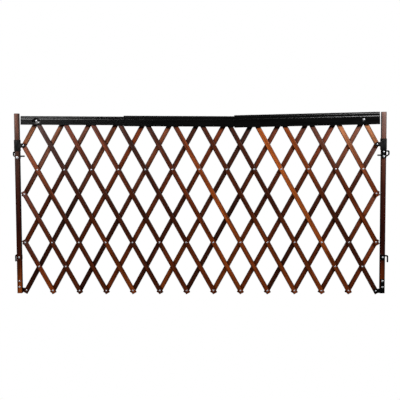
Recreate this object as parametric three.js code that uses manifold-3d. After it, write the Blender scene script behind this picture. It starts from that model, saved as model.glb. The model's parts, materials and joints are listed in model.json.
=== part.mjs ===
// An expanding swing gate: a riveted lattice of wooden slats between two wooden posts, under a
// three-section telescoping top rail, with a sliding sleeve, a latch, a hook and a corner bracket
// on each post. Millimetres, +Z up, +X to the right along the gate, -Y towards the front.
// The origin is on the floor line under the middle of the gate, which is drawn fully extended.
// Turned half a turn about Z, the gate's posts, lattice and metalwork come back to themselves.

import * as THREE from 'three';
import { mergeVertices } from 'three/addons/utils/BufferGeometryUtils.js';
import Module from 'manifold-3d';

const wasm = await Module();
wasm.setup();

// ---- Driving dimensions -------------------------------------------------------------------

const LINK = 124; // between two neighbouring pivots along a slat
const OPEN_ANGLE = THREE.MathUtils.degToRad(29); // of a slat from vertical, fully extended
const COLUMNS = 26; // half cells across
const ROWS = 7; // half cells up

const SLAT_WIDTH = 21.2;
const SLAT_THICKNESS = 9;
const LAYER_GAP = 0.4; // between the front and the rear layer of slats
const SLAT_OVERHANG = 14; // of a slat past its last pivot
const SLEEVE_SLAT_OVERHANG = 10; // shorter, so that the slat clears the sleeve's wall
const RAIL_SLAT_OVERHANG = 9; // shorter, so that the slat clears the rail's top

const POST_WIDTH = 22.5;
const POST_DEPTH = 19;
const POST_BOTTOM = 5.2;
const POST_HEIGHT = 805;
const POST_TO_PIVOTS = 17.8; // from the outermost pivots to the post's inner face
const PILOT_HOLE_HEIGHT = 432;
const PILOT_HOLE_RADIUS = 1.4;
const PILOT_HOLE_DEPTH = 8;

const RAIL_LENGTH = 637.4;
const RAIL_PAST_BOLT = 70.4; // from a rail's bolt to its outer end
const RAIL_WALL = 1.2;
const RAIL_SHOULDER = 5; // outer radius of the rail's upper edges
const LEFT_RAIL = { halfWidth: 12.8, below: 17.0, above: 21.6 };
const MIDDLE_RAIL = { halfWidth: 14.6, below: 21.3, above: 25.7 };
const RIGHT_RAIL = { halfWidth: 16.4, below: 22.2, above: 33.0 };
const LEFT_TILT = THREE.MathUtils.degToRad(0.55); // down towards the middle, extended
const RIGHT_TILT = THREE.MathUtils.degToRad(1.13); // down towards the middle, extended
const MIDDLE_RAIL_START = 387; // from the left rail's bolt to the middle rail's left end
const MIDDLE_RAIL_LENGTH = 570; // fits between the two bolts when the gate is folded

const SHEET = 2.5; // brackets and hook plates
const FIT_GAP = 0.3; // between pieces that touch
const SHANK_CLEARANCE = 0.3; // around a bolt in its hole

const SLEEVE_HEIGHT = 50.6;
const SLEEVE_WALL = 1.4;
const SLEEVE_CLEARANCE = 0.6;
const EAR_RADIUS = 9.5;
const EAR_GAP = 0.4; // between an ear and the slat beside it

const LATCH_PLATE_HEIGHT = 35;
const LATCH_PLATE_THICKNESS = 2.9;
const LATCH_LEVER_THICKNESS = 3.5;
const LATCH_PIVOT_HEIGHT = 614.6;
const LATCH_HUB_RADIUS = 8;
const LATCH_BAR = 6.6; // width of the lever's hook and tail
const LATCH_REACH = 24.4; // of the lever's hook past the post's centre line
const LATCH_TAIL_REACH = 29.5; // of the lever's tail, towards the lattice
const LATCH_TAIL_RISE = 5.6;
const LATCH_TAIL_START = -2; // where the tail's upper edge leaves the hub
const LATCH_HOOK_RISE = 27;
const LATCH_HOOK_TIP = 5.5; // from the post's centre line to the hook's tip
const LATCH_ROOT = { below: 6, above: 4 }; // of the hook's edges on the hub, from its centre
const LATCH_CORNER = { outer: 8, inner: 9 }; // heights at which the hook's edges turn upright
const LATCH_INNER_CHAMFER = 1;

const HOOK_PLATE_HEIGHT = 23;
const HOOK_PLATE_BOTTOM = 155.5;
const HOOK_PLATE_SETBACK = 1; // of the plate's outer edge from the post's outer face
const HOOK_BOLT_HEIGHT = 167.5;
const HOOK_ROD_RADIUS = 3.6;
const HOOK_ROD_HEIGHT = 175;
const HOOK_ROD_START = 4.8; // from the post's centre line, clear of the bolt's head
const HOOK_ROD_END = 146;
const HOOK_REACH = 20.5; // of the pin's centre line past the post's centre line
const HOOK_BEND = 5;
const HOOK_WELD = 0.6; // how deep the rod sinks into its plate

const BRACKET_LEG_WIDTH = 18;
const BRACKET_BOTTOM = 6;
const BRACKET_TOP = 70;
const BRACKET_ARM_TOP = 25;
const BRACKET_EYE_RADIUS = 9;
const BRACKET_SCREWS = [61, 33.5];

const SCREW = { shank: 2.2, head: 4.3, dome: 2 };
const PIVOT_BOLT = { shank: 2.6, head: 4.2, dome: 2 };
const RAIL_BOLT = { shank: 2.8, head: 6.3, dome: 2.6 };
const LATCH_BOLT = { shank: 2.6, head: 4.8, dome: 2.2, rearHead: 6.3 };

const ROUND_SIDES = 16;
const DOME_STEPS = 3;
const SHOULDER_SEGMENTS = 2;
const LEVER_SEGMENTS = 6;
const ROD_STEPS = 20;
const ROD_SEGMENTS = 5;
const CUT_PAST = 5; // how far a cutter runs past what it cuts
const MERGE_DISTANCE = 1e-4;

// ---- Finishes -----------------------------------------------------------------------------

const finish = (color, roughness, metalness) =>
  new THREE.MeshStandardMaterial({ color, roughness, metalness });

const WALNUT_FRONT = finish(0x6b2f1a, 0.45, 0);
const WALNUT_REAR = finish(0x44200f, 0.45, 0);
const WALNUT_POST = finish(0x52261a, 0.45, 0);
const BLACK_RAIL = finish(0x1c1b1b, 0.4, 0.3);
const BLACK_PLASTIC = finish(0x161718, 0.5, 0);
const BLACK_STEEL = finish(0x101010, 0.45, 0.4);
const ZINC = finish(0xb9bcc0, 0.35, 0.9);

// ---- Layout -------------------------------------------------------------------------------

const HALF_CELL = LINK * Math.sin(OPEN_ANGLE);
const HALF_ROW = LINK * Math.cos(OPEN_ANGLE);
// A slat's lowest corner touches the floor line.
const FIRST_ROW =
  SLAT_OVERHANG * Math.cos(OPEN_ANGLE) + (SLAT_WIDTH / 2) * Math.sin(OPEN_ANGLE);

const columnX = (column) => (column - COLUMNS / 2) * HALF_CELL;
const rowZ = (row) => FIRST_ROW + row * HALF_ROW;

const LAST_COLUMN_X = columnX(COLUMNS);
const POST_CENTRE = LAST_COLUMN_X + POST_TO_PIVOTS + POST_WIDTH / 2;
const POST_FACE = POST_DEPTH / 2;
const SLAT_FACE = LAYER_GAP / 2 + SLAT_THICKNESS;
const SLEEVE_ROW = 6;
const SLEEVE_BOTTOM = rowZ(SLEEVE_ROW) - SLEEVE_HEIGHT / 2;

const gate = new THREE.Group();

function addPiece(parent, name, geometry, material) {
  const mesh = new THREE.Mesh(geometry, material);
  mesh.name = name;
  parent.add(mesh);
  return mesh;
}

// ---- Shapes -------------------------------------------------------------------------------

// A flat outline in X and Z becomes a plate whose rear face is at rearY, growing to the front.
function plate(outline, rearY, thickness, curveSegments = ROUND_SIDES / 2) {
  const geometry = new THREE.ExtrudeGeometry(outline, {
    depth: thickness,
    bevelEnabled: false,
    curveSegments,
  });
  geometry.rotateX(Math.PI / 2);
  geometry.translate(0, rearY, 0);
  return geometry;
}

function rectangle(left, bottom, right, top) {
  return new THREE.Shape()
    .moveTo(left, bottom)
    .lineTo(right, bottom)
    .lineTo(right, top)
    .lineTo(left, top)
    .closePath();
}

function drill(outline, x, z, radius) {
  outline.holes.push(new THREE.Path().absarc(x, z, radius, 0, Math.PI * 2, true));
}

function solid(geometry) {
  const bare = geometry.clone();
  bare.deleteAttribute('normal');
  bare.deleteAttribute('uv');
  const merged = mergeVertices(bare, MERGE_DISTANCE);
  return new wasm.Manifold(
    new wasm.Mesh({
      numProp: 3,
      vertProperties: Float32Array.from(merged.attributes.position.array),
      triVerts: Uint32Array.from(merged.index.array),
    }),
  );
}

function faceted(body) {
  const mesh = body.getMesh();
  const shared = new THREE.BufferGeometry();
  shared.setAttribute('position', new THREE.BufferAttribute(mesh.vertProperties, 3));
  shared.setIndex(new THREE.BufferAttribute(mesh.triVerts, 1));
  const geometry = shared.toNonIndexed();
  geometry.computeVertexNormals();
  return geometry;
}

// A round bar across the gate, along Y, centred at x, z.
function crossBar(x, z, radius, halfLength) {
  const bar = new THREE.CylinderGeometry(radius, radius, 2 * halfLength, ROUND_SIDES);
  bar.translate(x, 0, z);
  return bar;
}

// A headed pin along Y with a domed head at each end. Its grip runs from rearY to frontY.
function fastener({ shank, head, dome, rearHead = head }, frontY, rearY) {
  const domePoints = (radius, faceY, outward) => {
    const points = [];
    for (let step = 0; step <= DOME_STEPS; step += 1) {
      const turn = (step / DOME_STEPS) * (Math.PI / 2);
      points.push(
        new THREE.Vector2(radius * Math.cos(turn), faceY + outward * dome * Math.sin(turn)),
      );
    }
    return points;
  };
  const front = domePoints(head, frontY, -1).reverse();
  const rear = domePoints(rearHead, rearY, 1);
  front[0].x = 0;
  rear[rear.length - 1].x = 0;
  const neck = [new THREE.Vector2(shank, frontY), new THREE.Vector2(shank, rearY)];
  return new THREE.LatheGeometry([...front, ...neck, ...rear], ROUND_SIDES);
}

// ---- Lattice ------------------------------------------------------------------------------

// A slat from its first pivot to its last, drawn in its own frame with X along it.
// endOverhangs are its lengths past those two pivots, boltHoles are pivot numbers along it.
function slatGeometry(links, endOverhangs, boltHoles) {
  const [before, after] = endOverhangs;
  const outline = rectangle(
    -before,
    -SLAT_WIDTH / 2,
    links * LINK + after,
    SLAT_WIDTH / 2,
  );
  for (const { pivot, radius } of boltHoles) drill(outline, pivot * LINK, 0, radius);
  return plate(outline, SLAT_THICKNESS / 2, SLAT_THICKNESS);
}

const isSleevePivot = ([column, row]) =>
  row === SLEEVE_ROW && (column === 0 || column === COLUMNS);
const isRailBoltPivot = ([column, row]) =>
  row === ROWS && (column === 1 || column === COLUMNS - 1);

function overhangAt(end) {
  if (isSleevePivot(end)) return SLEEVE_SLAT_OVERHANG;
  return end[1] === ROWS ? RAIL_SLAT_OVERHANG : SLAT_OVERHANG;
}

function addSlat(name, first, last, layerY, material) {
  const links = Math.abs(last[0] - first[0]);
  const overhangs = [first, last].map(overhangAt);
  const boltHoles = [];
  [first, last].forEach((end, index) => {
    const pivot = index * links;
    if (isSleevePivot(end)) {
      boltHoles.push({ pivot, radius: PIVOT_BOLT.shank + SHANK_CLEARANCE });
    }
    if (isRailBoltPivot(end)) {
      boltHoles.push({ pivot, radius: RAIL_BOLT.shank + SHANK_CLEARANCE });
    }
  });
  const slat = addPiece(gate, name, slatGeometry(links, overhangs, boltHoles), material);
  const rise = (last[1] - first[1]) * HALF_ROW;
  const run = (last[0] - first[0]) * HALF_CELL;
  slat.position.set(columnX(first[0]), layerY, rowZ(first[1]));
  slat.rotation.y = -Math.atan2(rise, run);
}

const numbered = (stem, number) => `${stem}_${String(number).padStart(2, '0')}`;
const LAYER_CENTRE = (LAYER_GAP + SLAT_THICKNESS) / 2;

// Rear slats rise to the right and front slats fall to the right. Each is named from the left.
function addLattice() {
  let number = 1;
  for (let start = 1 - ROWS; start < COLUMNS; start += 2) {
    const firstRow = Math.max(0, -start);
    const lastRow = Math.min(ROWS, COLUMNS - start);
    const first = [start + firstRow, firstRow];
    const last = [start + lastRow, lastRow];
    addSlat(numbered('rear_slat', number), first, last, LAYER_CENTRE, WALNUT_REAR);
    number += 1;
  }
  number = 1;
  for (let foot = 2; foot < COLUMNS + ROWS; foot += 2) {
    const firstRow = Math.min(ROWS, foot);
    const lastRow = Math.max(0, foot - COLUMNS);
    const first = [foot - firstRow, firstRow];
    const last = [foot - lastRow, lastRow];
    addSlat(numbered('front_slat', number), first, last, -LAYER_CENTRE, WALNUT_FRONT);
    number += 1;
  }
}

// ---- Top rail -----------------------------------------------------------------------------

// An upside-down channel along X with rounded shoulders, z = 0 at the bolt's height.
function railGeometry({ halfWidth, below, above }, startX, length) {
  const innerHalf = halfWidth - RAIL_WALL;
  const innerShoulder = RAIL_SHOULDER - RAIL_WALL;
  const roundHalf = halfWidth - RAIL_SHOULDER;
  const roundHeight = above - RAIL_SHOULDER;
  const section = new THREE.Shape()
    .moveTo(-halfWidth, -below)
    .lineTo(-innerHalf, -below)
    .lineTo(-innerHalf, roundHeight)
    .absarc(-roundHalf, roundHeight, innerShoulder, Math.PI, Math.PI / 2, true)
    .lineTo(roundHalf, above - RAIL_WALL)
    .absarc(roundHalf, roundHeight, innerShoulder, Math.PI / 2, 0, true)
    .lineTo(innerHalf, -below)
    .lineTo(halfWidth, -below)
    .lineTo(halfWidth, roundHeight)
    .absarc(roundHalf, roundHeight, RAIL_SHOULDER, 0, Math.PI / 2, false)
    .lineTo(-roundHalf, above)
    .absarc(-roundHalf, roundHeight, RAIL_SHOULDER, Math.PI / 2, Math.PI, false)
    .closePath();
  const geometry = new THREE.ExtrudeGeometry(section, {
    depth: length,
    bevelEnabled: false,
    curveSegments: SHOULDER_SEGMENTS,
  });
  const alongX = new THREE.Matrix4().makeBasis(
    new THREE.Vector3(0, 1, 0),
    new THREE.Vector3(0, 0, 1),
    new THREE.Vector3(1, 0, 0),
  );
  geometry.applyMatrix4(alongX);
  geometry.translate(startX, 0, 0);
  return geometry;
}

function withBoltHole(rail, halfWidth) {
  const hole = crossBar(0, 0, RAIL_BOLT.shank + SHANK_CLEARANCE, halfWidth + CUT_PAST);
  return faceted(solid(rail).subtract(solid(hole)));
}

function addTopRail() {
  const leftEnd = new THREE.Group();
  leftEnd.position.set(columnX(1), 0, rowZ(ROWS));
  leftEnd.rotation.y = LEFT_TILT;
  const rightEnd = new THREE.Group();
  rightEnd.position.set(columnX(COLUMNS - 1), 0, rowZ(ROWS));
  rightEnd.rotation.y = -RIGHT_TILT;
  gate.add(leftEnd, rightEnd);

  const left = railGeometry(LEFT_RAIL, -RAIL_PAST_BOLT, RAIL_LENGTH);
  const middle = railGeometry(MIDDLE_RAIL, MIDDLE_RAIL_START, MIDDLE_RAIL_LENGTH);
  const right = railGeometry(RIGHT_RAIL, RAIL_PAST_BOLT - RAIL_LENGTH, RAIL_LENGTH);
  addPiece(leftEnd, 'left_rail', withBoltHole(left, LEFT_RAIL.halfWidth), BLACK_RAIL);
  addPiece(leftEnd, 'middle_rail', middle, BLACK_RAIL);
  addPiece(rightEnd, 'right_rail', withBoltHole(right, RIGHT_RAIL.halfWidth), BLACK_RAIL);

  for (const [parent, name, rail] of [
    [leftEnd, 'left_rail_bolt', LEFT_RAIL],
    [rightEnd, 'right_rail_bolt', RIGHT_RAIL],
  ]) {
    const grip = rail.halfWidth + FIT_GAP;
    addPiece(parent, name, fastener(RAIL_BOLT, -grip, grip), ZINC);
  }
}

// ---- Posts and their metalwork ------------------------------------------------------------

// Each end is drawn as the right-hand one, with X = 0 on the post's centre line, the lattice
// towards -X and the metalwork on the front. The left-hand end is the same, half a turn round.

const PIVOT_X = -(POST_WIDTH / 2 + POST_TO_PIVOTS);
const THROUGH_BOLTS = [LATCH_PIVOT_HEIGHT, HOOK_BOLT_HEIGHT, ...BRACKET_SCREWS];

function postGeometry(hasPilotHole) {
  const outline = rectangle(
    -POST_WIDTH / 2,
    POST_BOTTOM,
    POST_WIDTH / 2,
    POST_BOTTOM + POST_HEIGHT,
  );
  for (const height of THROUGH_BOLTS) {
    const { shank } = height === LATCH_PIVOT_HEIGHT ? LATCH_BOLT : SCREW;
    drill(outline, 0, height, shank + SHANK_CLEARANCE);
  }
  const timber = plate(outline, POST_FACE, POST_DEPTH);
  if (!hasPilotHole) return timber;
  const pilot = crossBar(0, PILOT_HOLE_HEIGHT, PILOT_HOLE_RADIUS, PILOT_HOLE_DEPTH);
  pilot.translate(0, -POST_FACE, 0);
  return faceted(solid(timber).subtract(solid(pilot)));
}

// A box sleeve around the post with an ear on each side of the slats that end at it.
function sleeveGeometry() {
  const innerX = POST_WIDTH / 2 + SLEEVE_CLEARANCE;
  const innerY = POST_FACE + SLEEVE_CLEARANCE;
  const outerX = innerX + SLEEVE_WALL;
  const outerY = innerY + SLEEVE_WALL;
  const middle = rowZ(SLEEVE_ROW);
  const block = new THREE.BoxGeometry(2 * outerX, 2 * outerY, SLEEVE_HEIGHT);
  const bore = new THREE.BoxGeometry(2 * innerX, 2 * innerY, SLEEVE_HEIGHT + 2 * CUT_PAST);
  const ear = new THREE.Shape()
    .moveTo(-outerX + SLEEVE_WALL / 2, middle - EAR_RADIUS)
    .lineTo(-outerX + SLEEVE_WALL / 2, middle + EAR_RADIUS)
    .lineTo(PIVOT_X, middle + EAR_RADIUS)
    .absarc(PIVOT_X, middle, EAR_RADIUS, Math.PI / 2, (3 * Math.PI) / 2, false)
    .closePath();
  const earInner = SLAT_FACE + EAR_GAP;
  const frontEar = plate(ear, -earInner, outerY - earInner);
  const rearEar = plate(ear, outerY, outerY - earInner);
  block.translate(0, 0, middle);
  bore.translate(0, 0, middle);
  const pinHole = crossBar(PIVOT_X, middle, PIVOT_BOLT.shank + SHANK_CLEARANCE, outerY + CUT_PAST);
  return faceted(
    solid(block)
      .add(solid(frontEar))
      .add(solid(rearEar))
      .subtract(solid(bore))
      .subtract(solid(pinHole)),
  );
}

function bracketGeometry() {
  const half = BRACKET_LEG_WIDTH / 2;
  const eyeZ = rowZ(0);
  const outline = new THREE.Shape()
    .moveTo(half, BRACKET_BOTTOM)
    .lineTo(half, BRACKET_TOP)
    .lineTo(-half, BRACKET_TOP)
    .lineTo(-half, BRACKET_ARM_TOP)
    .lineTo(PIVOT_X, eyeZ + BRACKET_EYE_RADIUS)
    .absarc(PIVOT_X, eyeZ, BRACKET_EYE_RADIUS, Math.PI / 2, (3 * Math.PI) / 2, false)
    .closePath();
  for (const height of BRACKET_SCREWS) drill(outline, 0, height, SCREW.shank + SHANK_CLEARANCE);
  drill(outline, PIVOT_X, eyeZ, SCREW.shank + SHANK_CLEARANCE);
  return plate(outline, -POST_FACE - FIT_GAP, SHEET);
}

// A plate with a bent round pin welded to it, which drops into an eye on the wall.
function lowerHookGeometry() {
  const half = POST_WIDTH / 2;
  const backing = rectangle(
    -half,
    HOOK_PLATE_BOTTOM,
    half - HOOK_PLATE_SETBACK,
    HOOK_PLATE_BOTTOM + HOOK_PLATE_HEIGHT,
  );
  drill(backing, 0, HOOK_BOLT_HEIGHT, SCREW.shank + SHANK_CLEARANCE);
  const frontY = -POST_FACE - FIT_GAP - SHEET;
  const rodY = frontY - HOOK_ROD_RADIUS + HOOK_WELD;
  const corner = new THREE.Vector3(HOOK_REACH, rodY, HOOK_ROD_HEIGHT);
  const beforeBend = corner.clone().add(new THREE.Vector3(-HOOK_BEND, 0, 0));
  const afterBend = corner.clone().add(new THREE.Vector3(0, 0, -HOOK_BEND));
  const start = new THREE.Vector3(HOOK_ROD_START, rodY, HOOK_ROD_HEIGHT);
  const end = new THREE.Vector3(HOOK_REACH, rodY, HOOK_ROD_END);
  const route = new THREE.CurvePath();
  route.add(new THREE.LineCurve3(start, beforeBend));
  route.add(new THREE.QuadraticBezierCurve3(beforeBend, corner, afterBend));
  route.add(new THREE.LineCurve3(afterBend, end));
  const section = new THREE.Shape().absarc(0, 0, HOOK_ROD_RADIUS, 0, Math.PI * 2, false);
  const rod = new THREE.ExtrudeGeometry(section, {
    steps: ROD_STEPS,
    curveSegments: ROD_SEGMENTS,
    extrudePath: route,
  });
  return faceted(solid(plate(backing, -POST_FACE - FIT_GAP, SHEET)).add(solid(rod)));
}

function latchPlateGeometry() {
  const half = POST_WIDTH / 2;
  const top = SLEEVE_BOTTOM - FIT_GAP;
  const outline = rectangle(-half, top - LATCH_PLATE_HEIGHT, half, top);
  drill(outline, 0, LATCH_PIVOT_HEIGHT, LATCH_BOLT.shank + SHANK_CLEARANCE);
  return plate(outline, -POST_FACE - FIT_GAP, LATCH_PLATE_THICKNESS);
}

const LEVER_REAR = -POST_FACE - FIT_GAP - LATCH_PLATE_THICKNESS - FIT_GAP;

// The latch lever turns on its bolt: a hook closes the gap beside the post around an eye on the
// wall, and a tail towards the lattice is lifted to open it.
function latchLeverGeometry() {
  const inner = LATCH_REACH - LATCH_BAR;
  const underside = LATCH_HOOK_RISE - LATCH_BAR;
  const tailTop = LATCH_TAIL_RISE + LATCH_BAR / 2;
  const tailBottom = LATCH_TAIL_RISE - LATCH_BAR / 2;
  const tailEnd = -LATCH_TAIL_REACH + LATCH_BAR / 2;
  const onHub = (z) => Math.sqrt(LATCH_HUB_RADIUS ** 2 - z ** 2);
  const hubTurn = (z) => Math.asin(z / LATCH_HUB_RADIUS);
  const { below, above } = LATCH_ROOT;
  const tailTurn = Math.PI - hubTurn(tailBottom);
  const rootTurn = 2 * Math.PI - hubTurn(below);
  const outline = new THREE.Shape()
    .moveTo(onHub(below), -below)
    .lineTo(LATCH_REACH, LATCH_CORNER.outer)
    .lineTo(LATCH_REACH, underside)
    .absarc(inner, underside, LATCH_BAR, 0, Math.PI / 2, false)
    .lineTo(LATCH_HOOK_TIP, LATCH_HOOK_RISE)
    .lineTo(LATCH_HOOK_TIP, underside)
    .lineTo(inner - LATCH_INNER_CHAMFER, underside)
    .lineTo(inner, underside - LATCH_INNER_CHAMFER)
    .lineTo(inner, LATCH_CORNER.inner)
    .lineTo(onHub(above), above)
    .absarc(0, 0, LATCH_HUB_RADIUS, hubTurn(above), Math.PI / 2, false)
    .lineTo(LATCH_TAIL_START, tailTop)
    .lineTo(tailEnd, tailTop)
    .absarc(tailEnd, LATCH_TAIL_RISE, LATCH_BAR / 2, Math.PI / 2, (3 * Math.PI) / 2, false)
    .lineTo(-onHub(tailBottom), tailBottom)
    .absarc(0, 0, LATCH_HUB_RADIUS, tailTurn, rootTurn, false)
    .closePath();
  drill(outline, 0, 0, LATCH_BOLT.shank + SHANK_CLEARANCE);
  const geometry = plate(outline, LEVER_REAR, LATCH_LEVER_THICKNESS, LEVER_SEGMENTS);
  geometry.translate(0, 0, LATCH_PIVOT_HEIGHT);
  return geometry;
}

function addFastener(parent, name, kind, x, z, frontY, rearY) {
  const mesh = addPiece(parent, name, fastener(kind, frontY, rearY), ZINC);
  mesh.position.set(x, 0, z);
}

function addPostEnd(side, hasPilotHole) {
  const end = new THREE.Group();
  const isLeft = side === 'left';
  end.position.x = isLeft ? -POST_CENTRE : POST_CENTRE;
  end.rotation.z = isLeft ? Math.PI : 0;
  gate.add(end);

  addPiece(end, `${side}_post`, postGeometry(hasPilotHole), WALNUT_POST);
  addPiece(end, `${side}_sleeve`, sleeveGeometry(), BLACK_PLASTIC);
  addPiece(end, `${side}_corner_bracket`, bracketGeometry(), BLACK_STEEL);
  addPiece(end, `${side}_lower_hook`, lowerHookGeometry(), BLACK_STEEL);
  addPiece(end, `${side}_latch_plate`, latchPlateGeometry(), BLACK_STEEL);
  addPiece(end, `${side}_latch_lever`, latchLeverGeometry(), BLACK_STEEL);

  const rear = POST_FACE + FIT_GAP;
  const sheetFront = -POST_FACE - 2 * FIT_GAP - SHEET;
  const leverFront = LEVER_REAR - LATCH_LEVER_THICKNESS - FIT_GAP;
  const sleeveFace = POST_FACE + SLEEVE_CLEARANCE + SLEEVE_WALL + FIT_GAP;
  const [upperScrew, lowerScrew] = BRACKET_SCREWS;
  addFastener(end, `${side}_latch_bolt`, LATCH_BOLT, 0, LATCH_PIVOT_HEIGHT, leverFront, rear);
  addFastener(end, `${side}_hook_bolt`, SCREW, 0, HOOK_BOLT_HEIGHT, sheetFront, rear);
  addFastener(end, `${side}_bracket_screw_upper`, SCREW, 0, upperScrew, sheetFront, rear);
  addFastener(end, `${side}_bracket_screw_lower`, SCREW, 0, lowerScrew, sheetFront, rear);
  addFastener(
    end,
    `${side}_sleeve_bolt`,
    PIVOT_BOLT,
    PIVOT_X,
    rowZ(SLEEVE_ROW),
    -sleeveFace,
    sleeveFace,
  );
}

addLattice();
addTopRail();
addPostEnd('left', false);
addPostEnd('right', true);

export default gate;
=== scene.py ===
# Looks for the expanding wooden safety gate: every visible piece is built here around the
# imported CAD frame. Lengths are in millimetres, and MM turns them into Blender's metres, except
# for the camera's and the lights', which are in metres. The metalwork is drawn as it is on the
# right-hand post. The left-hand post's is the same, turned half a turn about Z.
import json
import math

import bmesh
import bpy
from mathutils import Matrix, Vector


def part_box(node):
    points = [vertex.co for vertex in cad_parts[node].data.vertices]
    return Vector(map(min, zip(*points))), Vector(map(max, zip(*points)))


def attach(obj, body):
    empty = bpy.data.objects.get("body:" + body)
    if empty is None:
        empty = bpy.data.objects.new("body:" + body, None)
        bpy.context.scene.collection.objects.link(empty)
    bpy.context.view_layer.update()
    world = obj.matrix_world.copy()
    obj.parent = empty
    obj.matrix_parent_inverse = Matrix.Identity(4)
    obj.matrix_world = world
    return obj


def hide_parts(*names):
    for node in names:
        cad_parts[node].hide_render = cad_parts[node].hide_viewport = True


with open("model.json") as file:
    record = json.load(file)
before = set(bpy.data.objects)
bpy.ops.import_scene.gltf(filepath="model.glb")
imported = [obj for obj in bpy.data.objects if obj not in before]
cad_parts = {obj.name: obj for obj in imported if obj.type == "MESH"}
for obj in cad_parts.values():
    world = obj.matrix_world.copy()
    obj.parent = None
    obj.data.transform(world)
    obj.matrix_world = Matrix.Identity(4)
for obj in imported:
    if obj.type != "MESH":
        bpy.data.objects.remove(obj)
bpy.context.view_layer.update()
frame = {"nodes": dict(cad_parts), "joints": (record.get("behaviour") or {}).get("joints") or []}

MM = 0.001
COLUMNS = 26
ROWS = 7

# ---- Places, read from the frame ------------------------------------------------------------

JOINTS = {joint["name"]: joint for joint in frame["joints"]}


def joint_place(name):
    return Vector(JOINTS[name]["pos_m"]) / MM


FIRST = joint_place("lattice_fold")
LAST = joint_place("right_corner_pivot")
RAIL_LEFT = joint_place("left_rail_pivot")
RAIL_RIGHT = joint_place("right_rail_pivot")
HALF_CELL = (LAST.x - FIRST.x) / COLUMNS
HALF_ROW = (RAIL_LEFT.z - FIRST.z) / ROWS
SLAT_ANGLE = math.atan2(HALF_ROW, HALF_CELL)  # from horizontal


def pivot(column, row):
    return Vector((FIRST.x + column * HALF_CELL, 0, FIRST.z + row * HALF_ROW))


def cad_box(node):
    low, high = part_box(node)
    return low / MM, high / MM


def cad_centre(node):
    low, high = cad_box(node)
    return (low + high) / 2


FRONT_SLAT_LOW, FRONT_SLAT_HIGH = cad_box("front_slat_01")
SLAT_THICKNESS = FRONT_SLAT_HIGH.y - FRONT_SLAT_LOW.y
SLAT_FACE = -FRONT_SLAT_LOW.y
POST_LOW, POST_HIGH = cad_box("right_post")
POST_X = (POST_LOW.x + POST_HIGH.x) / 2
POST_FACE = POST_HIGH.y
POST_HALF = (POST_HIGH.x - POST_LOW.x) / 2
LATCH_PIVOT = joint_place("right_latch_pivot")

HALF_TURN = Matrix.Rotation(math.pi, 4, "Z")
SIDES = {"right": Matrix.Identity(4), "left": HALF_TURN}

# ---- Camera ---------------------------------------------------------------------------------

CAMERA_AZIMUTH = math.radians(1.43)
CAMERA_ELEVATION = math.radians(4.45)
CAMERA_ROLL = math.radians(-0.24)
CAMERA_DISTANCE = 4.0
CAMERA_TARGET = Vector((0.0011, 0, 0.4233))
FOCAL_LENGTH = 80.95
SENSOR_WIDTH = 36


def add_camera():
    data = bpy.data.cameras.new("camera")
    data.lens = FOCAL_LENGTH
    data.sensor_width = SENSOR_WIDTH
    camera = bpy.data.objects.new("camera", data)
    bpy.context.scene.collection.objects.link(camera)
    back = Vector(
        (
            math.sin(CAMERA_AZIMUTH) * math.cos(CAMERA_ELEVATION),
            -math.cos(CAMERA_AZIMUTH) * math.cos(CAMERA_ELEVATION),
            math.sin(CAMERA_ELEVATION),
        )
    )
    turn = back.to_track_quat("Z", "Y").to_matrix() @ Matrix.Rotation(CAMERA_ROLL, 3, "Z")
    camera.matrix_world = Matrix.Translation(CAMERA_TARGET + back * CAMERA_DISTANCE) @ turn.to_4x4()
    bpy.context.scene.camera = camera
    bpy.context.scene.view_settings.view_transform = "Standard"


# ---- Materials ------------------------------------------------------------------------------


def linear(code):
    """The linear colour of an sRGB code such as 0x8A4A22."""
    channels = [(code >> shift & 255) / 255 for shift in (16, 8, 0)]
    return [c / 12.92 if c <= 0.04045 else ((c + 0.055) / 1.055) ** 2.4 for c in channels] + [1]


def scaled(code, factor):
    """The linear colour of an sRGB code times a factor."""
    return [channel * factor for channel in linear(code)]


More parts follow.
